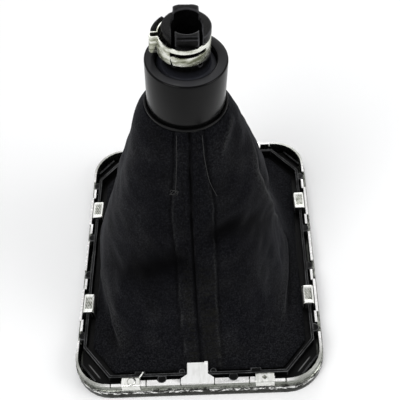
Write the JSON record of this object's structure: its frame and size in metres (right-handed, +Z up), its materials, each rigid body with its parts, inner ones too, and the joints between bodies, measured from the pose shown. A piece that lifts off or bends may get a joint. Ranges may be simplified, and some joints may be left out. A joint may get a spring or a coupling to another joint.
{
  "type": "gear lever knob with gaiter",
  "caption": "Gear lever knob with its fabric gaiter and bright console frame, turned inside out with the split lever socket and ear clamp on top.",
  "frame": {"origin": "on the table under the middle of the frame, the bottom centre of the frame's rounded rectangle", "axes": "+Z up from the bezel's decorative face towards the knob's lever socket, +Y along the frame's long side away from the latch, +X to the right seen from the latch end"},
  "size_m": [0.13, 0.162, 0.1766],
  "materials": {
    "bright_plating": "polished, with fine wear",
    "spring_steel": "bright tinned sheet, worn grey on the dimples",
    "carrier_plastic": "moulded, dull black",
    "satin_plastic": "satin black",
    "gaiter_lining": "brushed charcoal backing",
    "head_leather": "plain black grain",
    "gloss_cap": "polished black"
  },
  "bodies": {
    "root": {"bezel": "bright_plating", "carrier_frame": "carrier_plastic", "gaiter": "gaiter_lining", "collar": "satin_plastic", "neck_ring": "satin_plastic", "knob_core": "satin_plastic", "ear_clamp": "spring_steel", "knob_head": "head_leather", "head_trim_ring": "bright_plating", "head_cap": "gloss_cap", "clip_left_front": "spring_steel", "clip_left_rear": "spring_steel", "clip_right_front": "spring_steel", "clip_right_rear": "spring_steel", "clip_front_left": "spring_steel", "clip_front_right": "spring_steel", "clip_rear_left": "spring_steel", "clip_rear_right": "spring_steel", "latch_front": "spring_steel"}
  },
  "joints": []
}
